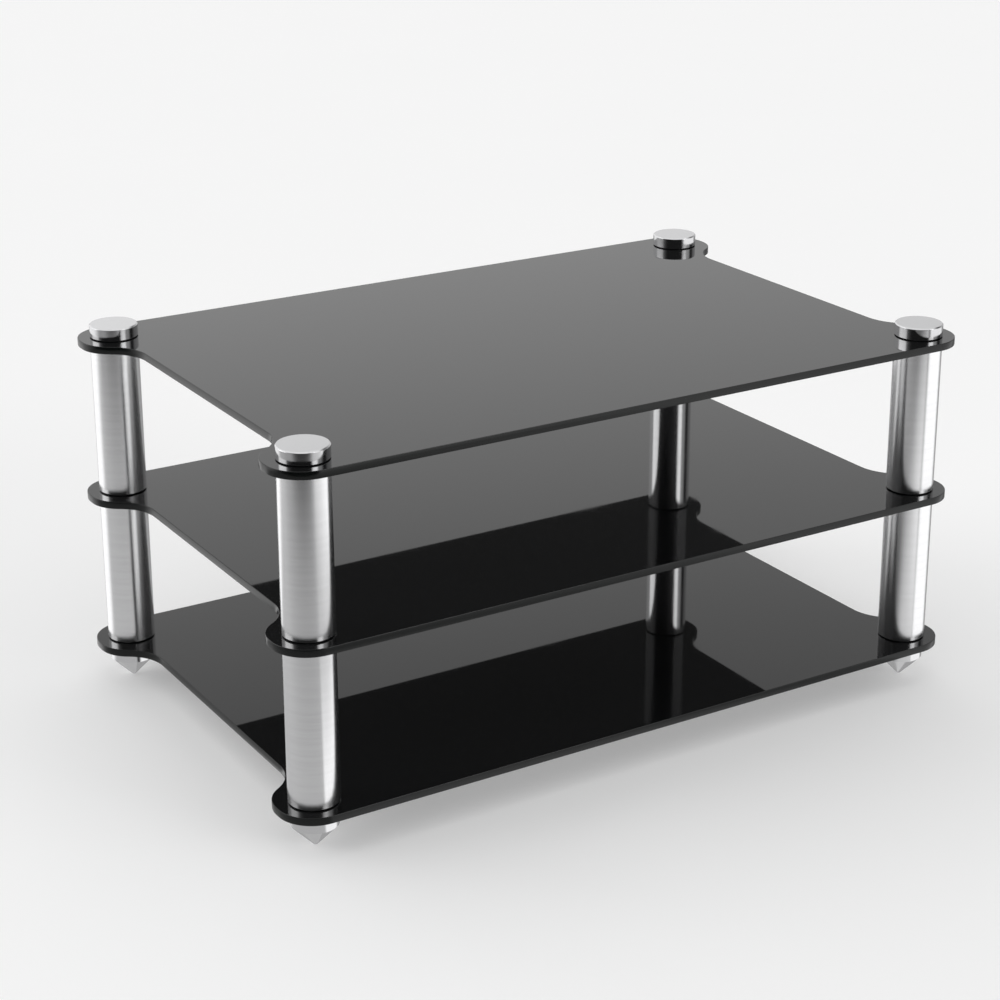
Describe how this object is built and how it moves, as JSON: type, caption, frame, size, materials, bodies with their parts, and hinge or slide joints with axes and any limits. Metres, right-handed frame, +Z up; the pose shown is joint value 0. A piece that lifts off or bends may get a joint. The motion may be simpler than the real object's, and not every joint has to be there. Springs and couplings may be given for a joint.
{
  "type": "equipment rack",
  "caption": "Open equipment rack with thin black glass shelves whose corners swell into rounded ears, carried on round satin metal pillars with flat caps on top and cone feet below.",
  "frame": {"origin": "on the floor, in the middle of the footprint, level with the four foot tips", "axes": "+X along the long side of the shelves, +Y from the front to the back, +Z up"},
  "size_m": [0.6, 0.39, 0.3036],
  "materials": {
    "black_glass": "opaque black, polished, with a fine arris",
    "satin_aluminium": "satin anodised, smooth",
    "stud_steel": "zinc plated thread",
    "washer_black": "thin black sheet"
  },
  "bodies": {
    "rack": {"shelf_bottom": "black_glass", "shelf_middle": "black_glass", "shelf_top": "black_glass", "pillar_lower_front_left": "satin_aluminium", "pillar_lower_front_right": "satin_aluminium", "pillar_lower_back_left": "satin_aluminium", "pillar_lower_back_right": "satin_aluminium", "pillar_upper_front_left": "satin_aluminium", "pillar_upper_front_right": "satin_aluminium", "pillar_upper_back_left": "satin_aluminium", "pillar_upper_back_right": "satin_aluminium", "stud_middle_front_left": "stud_steel", "stud_middle_front_right": "stud_steel", "stud_middle_back_left": "stud_steel", "stud_middle_back_right": "stud_steel", "washers_under_bottom_shelf": "washer_black", "washers_on_bottom_shelf": "washer_black", "washers_under_middle_shelf": "washer_black", "washers_on_middle_shelf": "washer_black", "washers_under_top_shelf": "washer_black", "washers_on_top_shelf": "washer_black"},
    "cap_stud_front_left": {"stud_cap_front_left": "stud_steel"},
    "cap_front_left": {"cap_front_left": "satin_aluminium"},
    "cap_stud_front_right": {"stud_cap_front_right": "stud_steel"},
    "cap_front_right": {"cap_front_right": "satin_aluminium"},
    "cap_stud_back_left": {"stud_cap_back_left": "stud_steel"},
    "cap_back_left": {"cap_back_left": "satin_aluminium"},
    "cap_stud_back_right": {"stud_cap_back_right": "stud_steel"},
    "cap_back_right": {"cap_back_right": "satin_aluminium"},
    "foot_stud_front_left": {"stud_foot_front_left": "stud_steel"},
    "foot_front_left": {"foot_front_left": "satin_aluminium"},
    "foot_stud_front_right": {"stud_foot_front_right": "stud_steel"},
    "foot_front_right": {"foot_front_right": "satin_aluminium"},
    "foot_stud_back_left": {"stud_foot_back_left": "stud_steel"},
    "foot_back_left": {"foot_back_left": "satin_aluminium"},
    "foot_stud_back_right": {"stud_foot_back_right": "stud_steel"},
    "foot_back_right": {"foot_back_right": "satin_aluminium"}
  },
  "joints": [
    {"name": "cap_stud_front_left_rise", "type": "slide", "parent": "rack", "child": "cap_stud_front_left", "axis": [0, 0, 1], "range_m": [0, 0.0101]},
    {"name": "cap_front_left_turn", "type": "hinge", "parent": "cap_stud_front_left", "child": "cap_front_left", "pos_m": [-0.2715, -0.1665, 0.2939], "axis": [0, 0, 1], "range_deg": [0, 2880]},
    {"name": "cap_stud_front_right_rise", "type": "slide", "parent": "rack", "child": "cap_stud_front_right", "axis": [0, 0, 1], "range_m": [0, 0.0101]},
    {"name": "cap_front_right_turn", "type": "hinge", "parent": "cap_stud_front_right", "child": "cap_front_right", "pos_m": [0.2715, -0.1665, 0.2939], "axis": [0, 0, 1], "range_deg": [0, 2880]},
    {"name": "cap_stud_back_left_rise", "type": "slide", "parent": "rack", "child": "cap_stud_back_left", "axis": [0, 0, 1], "range_m": [0, 0.0101]},
    {"name": "cap_back_left_turn", "type": "hinge", "parent": "cap_stud_back_left", "child": "cap_back_left", "pos_m": [-0.2715, 0.1665, 0.2939], "axis": [0, 0, 1], "range_deg": [0, 2880]},
    {"name": "cap_stud_back_right_rise", "type": "slide", "parent": "rack", "child": "cap_stud_back_right", "axis": [0, 0, 1], "range_m": [0, 0.0101]},
    {"name": "cap_back_right_turn", "type": "hinge", "parent": "cap_stud_back_right", "child": "cap_back_right", "pos_m": [0.2715, 0.1665, 0.2939], "axis": [0, 0, 1], "range_deg": [0, 2880]},
    {"name": "foot_stud_front_left_drop", "type": "slide", "parent": "rack", "child": "foot_stud_front_left", "axis": [0, 0, -1], "range_m": [0, 0.0051]},
    {"name": "foot_front_left_turn", "type": "hinge", "parent": "foot_stud_front_left", "child": "foot_front_left", "pos_m": [-0.2715, -0.1665, 0.0286], "axis": [0, 0, -1], "range_deg": [0, 1440]},
    {"name": "foot_stud_front_right_drop", "type": "slide", "parent": "rack", "child": "foot_stud_front_right", "axis": [0, 0, -1], "range_m": [0, 0.0051]},
    {"name": "foot_front_right_turn", "type": "hinge", "parent": "foot_stud_front_right", "child": "foot_front_right", "pos_m": [0.2715, -0.1665, 0.0286], "axis": [0, 0, -1], "range_deg": [0, 1440]},
    {"name": "foot_stud_back_left_drop", "type": "slide", "parent": "rack", "child": "foot_stud_back_left", "axis": [0, 0, -1], "range_m": [0, 0.0051]},
    {"name": "foot_back_left_turn", "type": "hinge", "parent": "foot_stud_back_left", "child": "foot_back_left", "pos_m": [-0.2715, 0.1665, 0.0286], "axis": [0, 0, -1], "range_deg": [0, 1440]},
    {"name": "foot_stud_back_right_drop", "type": "slide", "parent": "rack", "child": "foot_stud_back_right", "axis": [0, 0, -1], "range_m": [0, 0.0051]},
    {"name": "foot_back_right_turn", "type": "hinge", "parent": "foot_stud_back_right", "child": "foot_back_right", "pos_m": [0.2715, 0.1665, 0.0286], "axis": [0, 0, -1], "range_deg": [0, 1440]}
  ],
  "couplings": [
    {"joint": "cap_stud_front_left_rise", "follows": "cap_front_left_turn", "m_per_rad": 0.00019894},
    {"joint": "cap_stud_front_right_rise", "follows": "cap_front_right_turn", "m_per_rad": 0.00019894},
    {"joint": "cap_stud_back_left_rise", "follows": "cap_back_left_turn", "m_per_rad": 0.00019894},
    {"joint": "cap_stud_back_right_rise", "follows": "cap_back_right_turn", "m_per_rad": 0.00019894},
    {"joint": "foot_stud_front_left_drop", "follows": "foot_front_left_turn", "m_per_rad": 0.00019894},
    {"joint": "foot_stud_front_right_drop", "follows": "foot_front_right_turn", "m_per_rad": 0.00019894},
    {"joint": "foot_stud_back_left_drop", "follows": "foot_back_left_turn", "m_per_rad": 0.00019894},
    {"joint": "foot_stud_back_right_drop", "follows": "foot_back_right_turn", "m_per_rad": 0.00019894}
  ]
}
